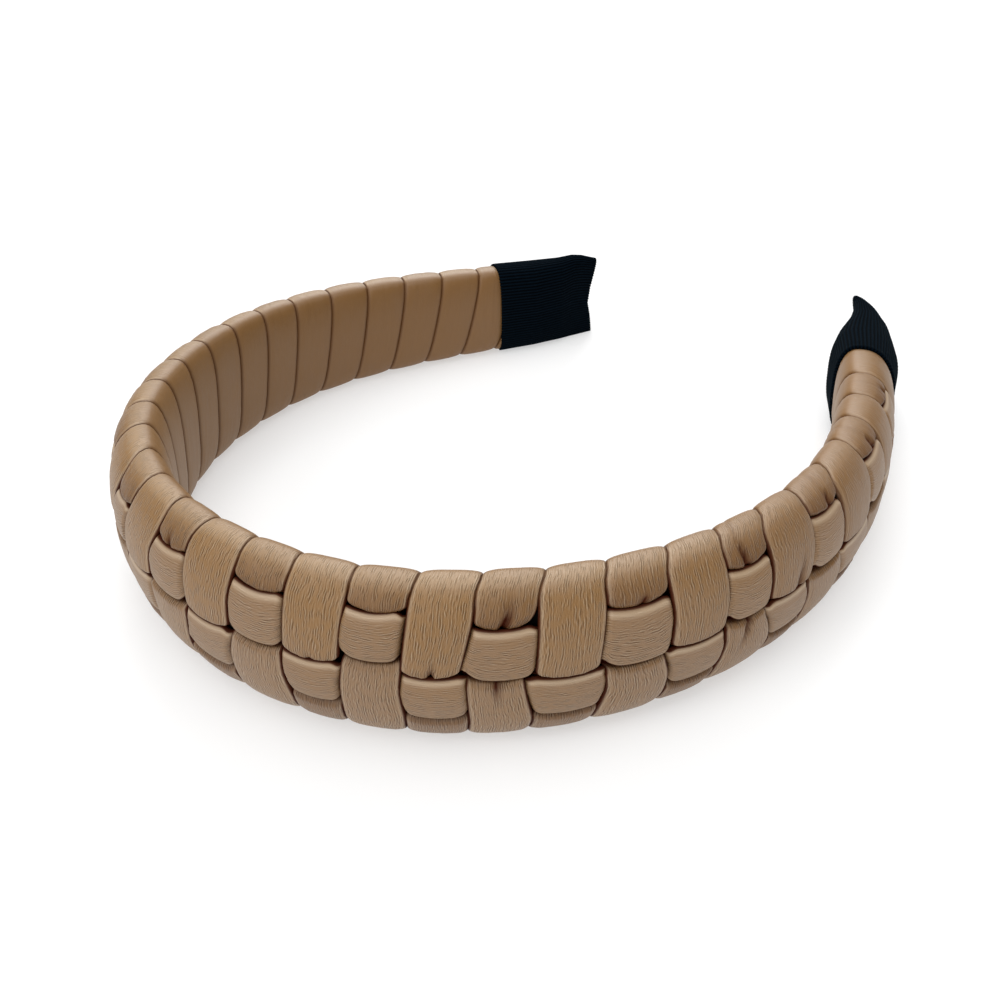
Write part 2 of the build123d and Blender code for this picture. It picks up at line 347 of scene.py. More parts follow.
def ring_mesh(name, rings, end_faces, marks, turned_over):
    """A piece of smooth walls between rings of points, closed by its end faces, with its points' marks."""
    count, ring = rings.shape[:2]
    i, j = np.meshgrid(np.arange(count - 1), np.arange(ring), indexing="ij")
    k = (j + 1) % ring
    quads = np.stack((i * ring + j, i * ring + k, (i + 1) * ring + k, (i + 1) * ring + j), axis=-1)
    faces = quads.reshape(-1, 4).tolist() + end_faces
    if turned_over:
        faces = [face[::-1] for face in faces]
    mesh = bpy.data.meshes.new(name)
    mesh.from_pydata(rings.reshape(-1, 3).tolist(), [], faces)
    for mark, values in marks.items():
        values = np.broadcast_to(values, (count, ring)).astype(np.float32)
        mesh.attributes.new(mark, "FLOAT", "POINT").data.foreach_set("value", values.ravel())
    mesh.polygons.foreach_set("use_smooth", np.ones(len(mesh.polygons), dtype=bool))
    mesh.update()
    return add_object(name, mesh)


def strip_piece(name, rings, marks, turned_over=False):
    """A strip from its rings and marks, with a UV map in millimetres, across and along."""
    count, ring = rings.shape[:2]
    end_faces = [list(range(ring))[::-1], list(range((count - 1) * ring, count * ring))]
    piece = ring_mesh(name, rings, end_faces, marks, turned_over)
    across = ACROSS * PITCH / 2 + IS_BACK * PITCH
    run = lengths_along(rings[:, FRONT_POINTS // 2])
    uv = np.stack(np.broadcast_arrays(across[None, :], run[:, None]), axis=-1).reshape(-1, 2)
    loop_vertices = np.zeros(len(piece.data.loops), dtype=np.int64)
    piece.data.loops.foreach_get("vertex_index", loop_vertices)
    piece.data.uv_layers.new(name="strip").data.foreach_set("uv", uv[loop_vertices].ravel())
    return piece


# Faux leather: polyurethane film on thin cloth, rolled with a fine grain. Folding and winding it has
# gathered it into fine wavy lines along the strip, which catch the light, and its folds go dark.
LEATHER_WARM_AND_SHADED, LEATHER_PALE, LEATHER_VALLEY_SHADE = "#875F27", "#86643E", "#43260E"
LEATHER_WEAR_AND_HIGHLIGHT, SHADE_BROWN = "#C4AC8F", "#3C1208"
# Sets of gathers: spacing in millimetres, and sizes of the waves across and along with their cycles
GATHERS = (
    (0.34, (0.6, 1.0, 0.60), (2.6, 5.0, 1.7)),
    (0.47, (0.9, 1.4, 0.75), (3.1, 6.0, 1.9)),
)
GATHER_PATCH = 0.8, 1.7   # across and along, of the places where the gathers are strong or weak
STRONG_FROM, STRONG_TO, WEAKEST = 0.32, 0.62, 0.3     # noise from weak to strong, and what is left if weak
FOLD_SIZE = 1.7, 11.0     # across and along, of the slower folds
PORES = 5.2               # to a millimetre: coarser than the real grain, which is too fine to show
PATCHES = 0.11            # to a millimetre, of paler and warmer tone
PATCH_FROM, PATCH_TO, PATCH_TINT = 0.3, 0.7, 0.25     # noise over which the tone changes, and how much
VALLEY_FLOOR, VALLEY_TOP, VALLEY_SHADE = 0.1, 0.6, 0.54     # heights of a gather's valley, and its darkness
CREST_POWER, CREST_HIGHLIGHT = 3.0, 0.5       # how narrow a gather's pale crest is, and how pale
LINE_RELIEF, PORE_RELIEF = 0.9, 0.25     # beside 1 for the slower folds
BUMP_STRENGTH, BUMP_DEPTH = 0.9, 0.16
VALLEY_ROUGHNESS, CREST_ROUGHNESS, COAT_ROUGHNESS = 0.60, 0.48, 0.42
SHINE, COAT = 0.6, 0.35   # of the film, and of the clear finish on it
FILM_IOR = 1.54
MATH, RANGE, MIX = "ShaderNodeMath", "ShaderNodeMapRange", "ShaderNodeMix"
TIMES, TIMES_PLUS = {"operation": "MULTIPLY"}, {"operation": "MULTIPLY_ADD"}
COLOURS = {"data_type": "RGBA"}     # such a mix has its two colours on inputs 6 and 7, and output 2


def strip_noise(tree, place, size, detail=0.0, shift=0.0):
    """Noise on a strip, its waves of a size in millimetres across and along."""
    scaled = node(tree, "ShaderNodeMapping", Vector=place, Location=(shift, shift, 0),
                  Scale=(1 / size[0], 1 / size[1], 1))
    return node(tree, "ShaderNodeTexNoise", {"noise_dimensions": "2D"},
                Vector=scaled, Scale=1.0, Detail=detail)


leather, tree = material("faux leather, polyurethane, folded")
place = node(tree, "ShaderNodeUVMap", {"uv_map": "strip"})
objects = node(tree, "ShaderNodeTexCoord").outputs["Object"]
gather, shade, wear_and_highlight, warmth_and_shade = (
    node(tree, "ShaderNodeAttribute", {"attribute_name": mark}).outputs["Fac"]
    for mark in ("gather", "shade", "wear_and_highlight", "warmth_and_shade"))
# Fine gathers: lines along the strip, bent by short and by slow waves, and stronger in places
across = node(tree, "ShaderNodeSeparateXYZ", Vector=place).outputs["X"]
lines = 0.5
for spacing, *waves in GATHERS:
    phase = node(tree, MATH, TIMES, i0=across, i1=2 * pi / spacing)
    for *size, cycles in waves:
        wander = strip_noise(tree, place, size, shift=spacing)
        phase = node(tree, MATH, TIMES_PLUS, i0=wander, i1=2 * pi * cycles, i2=phase)
    wave = node(tree, MATH, {"operation": "SINE"}, i0=phase)
    lines = node(tree, MATH, TIMES_PLUS, i0=wave, i1=0.5 / len(GATHERS), i2=lines)
strong = node(tree, RANGE, Value=strip_noise(tree, place, GATHER_PATCH),
              From_Min=STRONG_FROM, From_Max=STRONG_TO, To_Min=WEAKEST)
gather = node(tree, MATH, TIMES, i0=gather, i1=strong)
# Colour: warmer and paler patches, painted shade and highlight on the gathers, wear with painted highlight,
# painted shade
patches = node(tree, "ShaderNodeTexNoise", Vector=objects, Scale=PATCHES / MM, Detail=2.0)
tint = node(tree, RANGE, Value=patches, From_Min=PATCH_FROM, From_Max=PATCH_TO,
            To_Min=-PATCH_TINT, To_Max=PATCH_TINT)
# Warmth: on the inner face and the right arm the warmer, darker tone is painted shade
tint = node(tree, MATH, {"operation": "ADD", "use_clamp": True}, i0=tint, i1=warmth_and_shade)
tone = node(tree, MIX, COLOURS, i0=tint, i6=linear(LEATHER_PALE), i7=linear(LEATHER_WARM_AND_SHADED)).outputs[2]
# Painted shade in the gathers' valleys
valley_shade = node(tree, RANGE, Value=lines, From_Min=VALLEY_FLOOR, From_Max=VALLEY_TOP,
              To_Min=VALLEY_SHADE, To_Max=0.0)
valley_shade = node(tree, MATH, TIMES, i0=valley_shade, i1=gather)
lined = node(tree, MIX, COLOURS, i0=valley_shade, i6=tone, i7=linear(LEATHER_VALLEY_SHADE)).outputs[2]
# Painted highlight on the gathers' crests, together with the wear and painted highlight of the marks
crest = node(tree, MATH, {"operation": "POWER"}, i0=lines, i1=CREST_POWER)
crest = node(tree, MATH, TIMES, i0=crest, i1=gather)
pale = node(tree, MATH, {"operation": "MULTIPLY_ADD", "use_clamp": True}, i0=crest, i1=CREST_HIGHLIGHT, i2=wear_and_highlight)
paled = node(tree, MIX, COLOURS, i0=pale, i6=lined, i7=linear(LEATHER_WEAR_AND_HIGHLIGHT)).outputs[2]
# Painted shade from the shade mark: grooves, dives, pinches, rims, and faces where less light comes
colour = node(tree, MIX, COLOURS, i0=shade, i6=paled, i7=linear(SHADE_BROWN)).outputs[2]
# Relief and shine: gathers, slower folds and pores, with less shine in the valleys and the grooves
pores = node(tree, "ShaderNodeTexNoise", Vector=objects, Scale=PORES / MM, Detail=1.0)
folds = strip_noise(tree, place, FOLD_SIZE, detail=1.0)
raised = node(tree, MATH, TIMES, i0=lines, i1=gather)
height = node(tree, MATH, TIMES_PLUS, i0=raised, i1=LINE_RELIEF, i2=folds)
height = node(tree, MATH, TIMES_PLUS, i0=pores, i1=PORE_RELIEF, i2=height)
bump = node(tree, "ShaderNodeBump", Strength=BUMP_STRENGTH, Distance=BUMP_DEPTH * MM, Height=height)
rough = node(tree, RANGE, Value=raised, To_Min=VALLEY_ROUGHNESS, To_Max=CREST_ROUGHNESS)
closed = node(tree, MATH, {"operation": "MAXIMUM"}, i0=shade, i1=valley_shade)
shining = node(tree, MATH, {"operation": "SUBTRACT"}, i0=1.0, i1=closed)
shine = node(tree, MATH, TIMES, i0=shining, i1=SHINE)
coat = node(tree, MATH, TIMES, i0=shining, i1=COAT)
shader = node(tree, "ShaderNodeBsdfPrincipled", Base_Color=colour, Roughness=rough, Normal=bump,
              Specular_IOR_Level=shine, Coat_Weight=coat)
shader.inputs["IOR"].default_value = FILM_IOR
shader.inputs["Coat Roughness"].default_value = COAT_ROUGHNESS
node(tree, "ShaderNodeOutputMaterial", Surface=shader)


def geometry_tree(name, *sizes):
    """A new tree with a geometry, named sizes and a material as its inputs, and those inputs."""
    tree = bpy.data.node_groups.new(name, "GeometryNodeTree")
    tree.interface.new_socket("Geometry", in_out="INPUT", socket_type="NodeSocketGeometry")
    for label in sizes:
        tree.interface.new_socket(label, in_out="INPUT", socket_type="NodeSocketFloat")
    tree.interface.new_socket("Material", in_out="INPUT", socket_type="NodeSocketMaterial")
    tree.interface.new_socket("Geometry", in_out="OUTPUT", socket_type="NodeSocketGeometry")
    return tree, tree.nodes.new("NodeGroupInput").outputs


def raise_surface(tree, given, geometry, height):
    """Ends a tree: lifts each point along its normal, makes the result real and sets its material."""
    normal = node(tree, "GeometryNodeInputNormal")
    offset = node(tree, "ShaderNodeVectorMath", {"operation": "SCALE"}, i0=normal, Scale=height)
    moved = node(tree, "GeometryNodeSetPosition", Geometry=geometry, Offset=offset)
    real = node(tree, "GeometryNodeRealizeInstances", Geometry=moved)
    done = node(tree, "GeometryNodeSetMaterial", Geometry=real, Material=given["Material"])
    node(tree, "NodeGroupOutput", i0=done)


def run_tree(piece, tree, values):
    """Runs a tree on a piece with values for its named inputs, and makes the result its plain mesh."""
    modifier = piece.modifiers.new(tree.name, "NODES")
    modifier.node_group = tree
    for item in tree.interface.items_tree:
        if item.in_out == "INPUT" and item.name in values:
            modifier[item.identifier] = values[item.name]
    graph = bpy.context.evaluated_depsgraph_get()
    result = piece.evaluated_get(graph)
    mesh = bpy.data.meshes.new_from_object(result, preserve_all_data_layers=True, depsgraph=graph)
    piece.modifiers.clear()
    piece.data = mesh


# Soft creases that run along a strip, and are stronger where it is pulled under
CREASE_SPACING, CREASE_LENGTH = 1.6, 9.0
creases, given = geometry_tree("soft creases", "Crease Spacing", "Crease Length", "Crease Height", "Seed")
place = node(creases, "GeometryNodeInputNamedAttribute", {"data_type": "FLOAT_VECTOR"}, Name="strip")
pull = node(creases, "GeometryNodeInputNamedAttribute", {"data_type": "FLOAT"}, Name="pull")
period = node(creases, "ShaderNodeCombineXYZ", X=given["Crease Spacing"], Y=given["Crease Length"], Z=1.0)
scaled = node(creases, "ShaderNodeVectorMath", {"operation": "DIVIDE"}, i0=place, i1=period)
noise = node(creases, "ShaderNodeTexNoise", {"noise_dimensions": "4D"},
             Vector=scaled, W=given["Seed"], Scale=1.0, Detail=2.0)
centred = node(creases, MATH, {"operation": "SUBTRACT"}, i0=noise, i1=0.5)
height = node(creases, MATH, TIMES, i0=centred, i1=given["Crease Height"])
height = node(creases, MATH, TIMES, i0=height, i1=pull)
raise_surface(creases, given, given["Geometry"], height)


def crease_strip(piece, crease_height, seed):
    """Gives a strip its soft creases and its leather."""
    run_tree(piece, creases, {"Crease Spacing": CREASE_SPACING, "Crease Length": CREASE_LENGTH,
                              "Crease Height": crease_height * MM, "Seed": float(seed), "Material": leather})


# Places of a turn's rings: on the inner face and the lower edge in degrees, on the front in rows with
# more rings near the turn's two crossings, and over the upper edge in degrees
UP_THE_BACK = (-180, -165, -150, -138, -126, -115, -105, -97, -90, -82, -75)
OVER_THE_TOP = (72, 80, 88, 95, 102, 110, 120, 132, 146, 160, 172)
SHORT_ROWS = np.concatenate((
    np.linspace(2.15, 0.77, 10), np.linspace(0.70, 0.30, 19), (0.2, 0.0, -0.2), np.linspace(-0.30, -0.70, 19),
    (-0.76, -0.83)))
TALL_ROWS = np.concatenate((
    np.linspace(2.15, 1.77, 3), np.linspace(1.70, 1.30, 19), (1.2, 1.0, 0.8), np.linspace(0.70, 0.30, 19),
    np.linspace(0.20, -0.83, 9)))
turns = np.arange(-1, TURNS + 1)
lead_in, lead_out = np.full(len(UP_THE_BACK), BOTTOM_ROW), np.full(len(OVER_THE_TOP), TOP_ROW)
rows_of = [np.concatenate((lead_in, rows, lead_out)) for rows in (SHORT_ROWS, TALL_ROWS)]
places = np.concatenate([rows_of[turn % 2] for turn in turns])
turn_list = np.repeat(turns, len(rows_of[0]))
angles = np.tile(np.concatenate((UP_THE_BACK, np.zeros(len(SHORT_ROWS)), OVER_THE_TOP)), len(turns))
on_front = angles == 0
heights = UPPER_ROW - np.where(on_front, crossing_row(turn_list, places), places) * ROW_SHARE
angles = np.where(on_front, front_angle(np.clip(heights, -1, 1)), angles)
tall = turn_list % 2 == 1

# Odd turns are tall: they show from the top edge down to the middle crossing, and again under the lower
# long strip. Even ones are short, and dive at the top crossing. Each comes out again one row further on.
goes_under = np.where(tall, MIDDLE_CROSSING, TOP_CROSSING)
comes_out = places > goes_under + 0.5
distance = np.where(comes_out, places - goes_under - 1, goes_under - places) * ROW_PITCH
level = dive(distance)


def on_middle(place, margin):
    """1 on the front, and down to 0 at the band's two edges over a margin in rows."""
    return smooth(place, TOP_ROW, TOP_ROW + margin) * smooth(place, BOTTOM_ROW, BOTTOM_ROW - margin)


# A turn that is over spreads across its neighbours' edges, and narrows with round corners as it dives
PRESSED, OVERHANG = 0.03, 0.14     # by which its edges meet, and cover, the next ones
LEAD_RUN, LEAD_MARGIN = 0.15, 0.3  # rows in which the lead passes to the next turn, and ends at the edges
TALL_CORNER = 1.5                  # radius where a tall turn dives
EMERGING_CORNER = 0.5              # radius where any turn comes out
CORNER_DEPTH = 0.6                 # share of its radius by which a corner cuts in
# Round corners at the lower ends of the short turns: turn, left radius, right radius
SHORT_CORNERS = np.array(((14, 2.4, 1.0), (20, 1.6, 1.4), (22, 1.2, 3.2), (24, 1.2, 2.4), (28, 1.0, 2.2)))
MOUTH_GAP = 0.1                    # between the leather and the mouths of the ribbon sleeves
NARROWEST = 0.8                    # width below which a ring at the strip's ends is left out


def corner_cut(distance, radius):
    """How far a round corner draws an edge in, at a distance from where the strip goes under."""
    return CORNER_DEPTH * radius * np.clip(1 - distance / radius, 0, 1) ** 2


leads = np.clip((MIDDLE_CROSSING - places) / LEAD_RUN, -1, 1) * np.where(tall, 1, -1)
leads = leads * on_middle(places, LEAD_MARGIN)
insets = []
for column in (1, 2):
    radius = np.interp(turn_list, SHORT_CORNERS[:, 0], SHORT_CORNERS[:, column])
    radius = np.where(comes_out, EMERGING_CORNER, np.where(tall, TALL_CORNER, radius))
    insets.append(-PRESSED - OVERHANG * leads + corner_cut(distance, radius))
low = np.maximum(along(edge_turn(turn_list, angles, places)) + insets[0], LEFT_MOUTH + MOUTH_GAP)
high = np.minimum(along(edge_turn(turn_list + 1, angles, places)) - insets[1], RIGHT_MOUTH - MOUTH_GAP)
keep = high - low > NARROWEST
turn_list, places, angles, on_front, tall, level, distance, low, high = (
    values[keep] for values in (turn_list, places, angles, on_front, tall, level, distance, low, high))

# The section of a turn, rounder on the band's two edges
EDGE_MARGIN = 0.35                 # rows
ROUNDER, HIGHER = 0.4, 0.06        # what its fullness loses, and its edges gain, on the band's edges
on_edges = (1 - on_middle(places, EDGE_MARGIN))[:, None]
depth = strip_depth(level[:, None], FULLNESS - ROUNDER * on_edges, EDGE_RISE + HIGHER * on_edges)

# Pinches where a turn is drawn under: turn, place, share across, slant, then length, width and depth in
# millimetres
PINCHES = np.array((
    (16, -0.54, -0.10, 0.0, 2.2, 0.45, 1.3),
    (19, 0.48, 0.05, 0.0, 1.0, 0.35, 0.7),
    (21, 0.48, -0.05, 0.0, 2.4, 0.45, 1.6),
    (22, -0.54, 0.02, -0.15, 2.2, 0.75, 1.4),
    (22, 0.56, 0.05, 0.0, 2.6, 0.55, 0.5),
    (24, -0.54, 0.15, 0.0, 1.2, 0.60, 0.6),
    (26, -0.56, -0.10, 0.35, 3.2, 0.55, 1.2),
    (26, 0.56, 0.15, -0.4, 4.0, 0.60, 1.2),
    (27, 0.48, 0.30, 0.0, 4.0, 0.55, 1.0),
    (28, -0.54, 0.20, 0.15, 3.0, 0.55, 1.3),
    (30, -0.54, 0.10, 0.2, 3.0, 0.55, 1.3),
    (32, -0.54, 0.20, 0.2, 2.5, 0.50, 1.0),
))
pinched = np.zeros(depth.shape)
for turn, place, across, slant, length, width, deep in PINCHES:
    run = (places - place) * ROW_PITCH
    side = (ACROSS[None, :] - across) * PITCH / 2 - slant * run[:, None]
    fade = np.where(turn_list == turn, np.exp(-(run / length) ** 2), 0.0)
    pinch = fade[:, None] * np.exp(-(side / width) ** 2)
    pinched = np.maximum(pinched, pinch)
    depth = depth + deep * pinch * (1 - IS_BACK)

# The rings: the middle of each crossing sags a little
BOW = 0.75                         # by which it sags
bow = BOW / (BAND_WIDTH / 2) * (1 - on_edges) * (1 - ACROSS[None, :] ** 2)
bowed = front_angle(np.clip(height_share(angles)[:, None] - bow, -1, 1))
rings = skin(spread(low, high), np.where(on_front[:, None], bowed, angles[:, None]), depth)

# Marks on the turns. A group of two is the values that a mark rises between: levels, degrees from the
# front, shares across, rows, or millimetres from a dive or from the crown. A group of three has the
# mark's strength first.
INNER_FACE = 88, 110
TOP_EDGE_FROM, TOP_EDGE_TO = (66, 86), (118, 95)
RIGHT_ARM = 55.0, 115.0
inner_face = smooth(np.abs(angles), *INNER_FACE)
top_edge = smooth(angles, *TOP_EDGE_FROM) * smooth(angles, *TOP_EDGE_TO)
on_right_arm = smooth(low, *RIGHT_ARM)

# Painted shade: where a turn dives, at the ends of short and tall turns, in the gaps at the rims and where
# less light comes
DIVE_DARK, DIVE_SHADE = (0.68, 0.1), (0.16, 2.4, 0.0)
SHORT_END_SHADE, LOW_END_SHADE = (0.30, 7.0, 1.2), 0.20     # above the long strips, and below them
RIGHT_ARM_SHADE, INNER_SHADE, LEFT_INNER_SHADE = 0.10, 0.07, (0.15, 60.0, 140.0)
RIM, RIM_SHADE, EDGE_RIM_SHADE = (0.90, 0.97), 0.95, 0.70
INNER_RIM_LOSS, RIGHT_RIM_LOSS = 0.4, (0.5, 90.0, 140.0)
SOFT_RIM = 0.62, 0.76, 1.0         # on the inner face
PINCH_SHADE = 1.1
dim = rising(distance, *DIVE_SHADE) + rising(distance, *SHORT_END_SHADE) * (~tall & (places < 0))
dim = dim + LOW_END_SHADE * (tall & (places > LOW_CROSSING)) + RIGHT_ARM_SHADE * on_right_arm
inner_dim = INNER_SHADE + rising(-low, *LEFT_INNER_SHADE)
dim = np.maximum(dim * (1 - inner_face), inner_dim * inner_face)
rim = smooth(np.abs(ACROSS), *RIM)[None, :] * (RIM_SHADE + (EDGE_RIM_SHADE - RIM_SHADE) * on_edges)
rim = rim * ((1 - INNER_RIM_LOSS * inner_face) * (1 - rising(low, *RIGHT_RIM_LOSS)))[:, None]
soft_rim = rising(np.abs(ACROSS), *SOFT_RIM)[None, :] * inner_face[:, None]
shade = np.maximum(np.maximum(smooth(level, *DIVE_DARK), dim)[:, None], np.maximum(rim, soft_rim))

# Gathers: fewer over the band's edges, on the inner face and along the arms
EDGE_GATHERS, GATHERS_FADE = 0.9, -0.6     # their strength on the band's edges, and the row it falls from
INNER_CALM, ARM_CALM = 0.85, (0.55, 60.0, 150.0)
gather = 1 - (1 - EDGE_GATHERS) * smooth(places, GATHERS_FADE, TOP_ROW)
gather = np.where(on_front, gather, EDGE_GATHERS) * (1 - INNER_CALM * inner_face)
gather = gather * (1 - rising(np.abs(low), *ARM_CALM))

# Pull of the creases, and wear with painted highlight on the folds, painted highlight on the top edge
PULL, DIVE_PULL, INNER_SLACK = 0.6, (1.2, 4.0, 0.0), 0.7
FOLD_WEAR_AND_HIGHLIGHT, TOP_EDGE_HIGHLIGHT = (0.3, 0.5, 1.0), 0.34
INNER_WEAR_AND_HIGHLIGHT_LOSS, RIGHT_WEAR_AND_HIGHLIGHT_LOSS = 0.8, 0.5
# Warmth over the crown's upper rows, and on the inner face and the right arm as painted shade
WARMTH, RIGHT_ARM_SHADE_WARMTH, CROWN_WARMTH, WARM_ROWS = 0.15, 0.35, (0.85, 110.0, 40.0), (0.9, -0.2)
pull = (PULL + rising(distance, *DIVE_PULL)) * (1 - INNER_SLACK * inner_face)
# Painted highlight along the turned edges, partly wear, and over the top edge; less of it on the inner face
# and the right arm
wear_and_highlight = EDGE_BAND[None, :] * rising(level, *FOLD_WEAR_AND_HIGHLIGHT)[:, None] + TOP_EDGE_HIGHLIGHT * top_edge[:, None]
wear_and_highlight = wear_and_highlight * ((1 - INNER_WEAR_AND_HIGHLIGHT_LOSS * inner_face) * (1 - RIGHT_WEAR_AND_HIGHLIGHT_LOSS * on_right_arm))[:, None]
warmth_and_shade = WARMTH + RIGHT_ARM_SHADE_WARMTH * on_right_arm
warmth_and_shade = warmth_and_shade + smooth(places, *WARM_ROWS) * rising(np.abs(low), *CROWN_WARMTH)
marks = {
    "shade": np.clip(shade + PINCH_SHADE * pinched, 0, 1),
    "gather": gather[:, None],
    "pull": pull[:, None],
    "wear_and_highlight": wear_and_highlight,
    "warmth_and_shade": np.maximum(warmth_and_shade, inner_face)[:, None],
}
wrap = strip_piece("wound_strip", rings, marks)
crease_strip(wrap, crease_height=0.28, seed=3)
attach(wrap, "root")
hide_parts("wrap_strip")

# The two long strips: the same leather, folded and lightly filled, laid side by side from tip to tip.
# The turns of the wrap hold them, and each shows as a row of short pads between the turns over it.
LONG_STEP = 0.30          # between the rings of a long strip
LONG_GAP = 0.05           # between a long strip's edge and the crossing line
PAD_SWELL = 0.12          # share of the level that a pad gains from its ends to its middle
PAD_CORNERS = 2.4, 1.5    # radii at a pad's lower and upper corners
PAD_KNOTS = -0.1, 1.1     # turns from a pad's start between which its rows stay level
LEAN_REACH = 0.46         # rows up and down within which a pad's ends follow the leans
ROWS_HIGHER = 0.3         # share of the sag by which the rows are set higher
# Marks on the pads, in groups as for the turns
PAD_DARK, PAD_PULL, PAD_CALM = (0.62, 0.1), (0.8, 3.0, 0.0), (0.6, 0.1, 0.8)
# Painted highlight in a pale band under a pad's upper edge, where it rolls over
HIGHLIGHT_LINE, HIGHLIGHT_SPREAD = 0.83, 0.10     # a pale band under a pad's upper edge
PAD_FOLD_WEAR_AND_HIGHLIGHT, PAD_BAND_HIGHLIGHT, PAD_WEAR_AND_HIGHLIGHT_LEVELS = 0.25, 0.60, (0.5, 0.9)


def pad_row(turn, row, column):
    """Row of a long strip's edge, level over each of its pads and changing under the turns between them."""
    shown = np.arange(row, TURNS + 1, 2)
    knots = np.repeat(shown, 2) + np.tile(PAD_KNOTS, len(shown))
    return np.interp(turn, knots, np.repeat(np.interp(shown, CROSSINGS[:, 0], CROSSINGS[:, column]), 2))


for row, name in enumerate(("long_strip_upper", "long_strip_lower")):
    s = np.arange(LEFT_MOUTH + MOUTH_GAP, RIGHT_MOUTH - MOUTH_GAP, LONG_STEP)
    edges = np.arange(-1, TURNS + 3)
    turns_at = []
    for place in row - ACROSS / 2:
        angle = np.full(edges.shape, front_angle(UPPER_ROW - place * ROW_SHARE))
        edges_s = along(edge_turn(edges, angle, np.clip(place, row - LEAN_REACH, row + LEAN_REACH)))
        turns_at.append(np.interp(s, edges_s, edges))
    turns_at = np.stack(turns_at, axis=1)
    shows_at = np.sin(pi * turns_at) * (1 - 2 * row)
    edge_at = (0.5 - np.abs(turns_at % 1 - 0.5)) * PITCH * np.sign(shows_at)
    level = dive(edge_at) * (1 - PAD_SWELL + PAD_SWELL * np.abs(shows_at))
    turn, shows, to_edge = (values[:, FRONT_POINTS // 2] for values in (turns_at, shows_at, edge_at))
    sag = BOW / ROW_PITCH * (np.maximum(shows, 0) - ROWS_HIGHER)
    lower_cut, upper_cut = (corner_cut(to_edge, radius) for radius in PAD_CORNERS)
    top = pad_row(turn, row, 1 + row) + sag + (LONG_GAP + upper_cut) / ROW_PITCH
    bottom = pad_row(turn, row, 2 + row) + sag - (LONG_GAP + lower_cut) / ROW_PITCH
    heights = UPPER_ROW - ROW_SHARE * spread(bottom, top)
    rings = skin(s[:, None], front_angle(heights), strip_depth(level, FULLNESS, EDGE_RISE))
    rim = RIM_SHADE * smooth(np.abs(ACROSS), *RIM)[None, :]
    highlight_band = np.exp(-((ACROSS - HIGHLIGHT_LINE) / HIGHLIGHT_SPREAD) ** 2) * (1 - IS_BACK)
    pad_wear_and_highlight = np.maximum(PAD_FOLD_WEAR_AND_HIGHLIGHT * EDGE_BAND, PAD_BAND_HIGHLIGHT * highlight_band)[None, :]
    calm = 1 - rising(np.abs(s), *ARM_CALM)
    marks = {
        "shade": np.clip(np.maximum(smooth(level, *PAD_DARK), rim), 0, 1),
        "gather": calm[:, None] * (1 - rising(ACROSS, *PAD_CALM))[None, :],
        "pull": (PULL + rising(to_edge, *PAD_PULL))[:, None],
        "wear_and_highlight": pad_wear_and_highlight * smooth(level, *PAD_WEAR_AND_HIGHLIGHT_LEVELS),
        "warmth_and_shade": WARMTH,
    }
    piece = strip_piece(name + "_pads", rings, marks, turned_over=True)
    crease_strip(piece, crease_height=0.22, seed=11 + row)
    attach(piece, "root")
    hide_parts(name)

# The ribbon sleeves: grosgrain ribbon folded round each tip, glued, and pinched flat at its closed end.
# Its ribs run along the band, its mouth stands proud of the leather, and its cut end is left wavy.
RIBBON_LENGTH, RIBBON_WALL = 28.0, 0.7
PROUD = 0.35              # by which the mouth stands over the leather
# The sleeves' pinch: share of the length, share of depth, share of width, and shift outwards
PINCH_LEFT = np.array((
    (0.0, 1.0, 1.0, 0.0), (0.3, 1.02, 1.0, 0.0), (0.6, 0.75, 1.02, 0.0), (0.75, 0.50, 1.05, 0.0),
    (0.85, 0.38, 1.04, 0.0), (1.0, 0.18, 0.99, 0.0),
))
PINCH_RIGHT = np.array((
    (0.0, 1.0, 1.0, 0.0), (0.3, 1.15, 1.0, 0.2), (0.5, 1.02, 1.0, 0.9), (0.7, 0.78, 1.0, 2.0),
    (0.88, 0.52, 1.0, 2.2), (0.96, 0.34, 1.0, 1.6), (1.0, 0.18, 1.0, 0.8),
))
# The cut end: share of the half height, reach past the ribbon's length and turn outwards, for the left
# and then the right sleeve
ENDS = np.array((
    (-1.0, -2.0, 0.0, -1.0, 0.0),
    (-0.5, -2.6, 0.3, -1.5, 0.6),
    (-0.1, -3.6, -0.3, -1.2, 0.8),
    (0.3, -2.9, 0.1, -1.0, 0.8),
    (0.7, -1.8, 0.3, -0.4, 0.4),
    (1.0, -1.2, 0.0, 0.0, -0.6),
))
END_FROM = 0.45           # share of the length from which the cut end's waves come in
RIB_SPACING, RIB_HEIGHT = 0.8, 0.20
RIB_POINTS = 5            # round the sleeve, for each rib
OUTLINE_POINTS = 721      # round the mouth, to measure it
# Shares of the length where the rings are: the mouth's rolled edge, and then the sleeve
MOUTH_RINGS = 3
SLEEVE_SHARES = np.concatenate((np.linspace(-0.04, 0.0, MOUTH_RINGS), np.linspace(0.02, 1.0, 60)))

# Grosgrain: polyester ribbon, woven with thick weft ribs. Matt, nearly black, with a faint cold sheen.
RIBBON_BLACK, RIBBON_BLUE, SHADE_BETWEEN_RIBS = "#030D15", "#07141F", "#000001"
THREADS, FIBRES = 0.9, 4.2               # to a millimetre: the fibres coarser than real, so that they show
FIBRE_STRENGTH, FIBRE_DEPTH = 0.6, 0.1
RIBBON_ROUGHNESS, RIBBON_SPECULAR = 0.85, 0.03
SHEEN, SHEEN_ROUGHNESS, SHEEN_TINT = 0.014, 0.5, "#3A8C9C"
ribbon, tree = material("grosgrain ribbon, polyester")
objects = node(tree, "ShaderNodeTexCoord").outputs["Object"]
threads = node(tree, "ShaderNodeTexNoise", Vector=objects, Scale=THREADS / MM, Detail=2.0)
crest = node(tree, "ShaderNodeAttribute", {"attribute_name": "crest"}).outputs["Fac"]
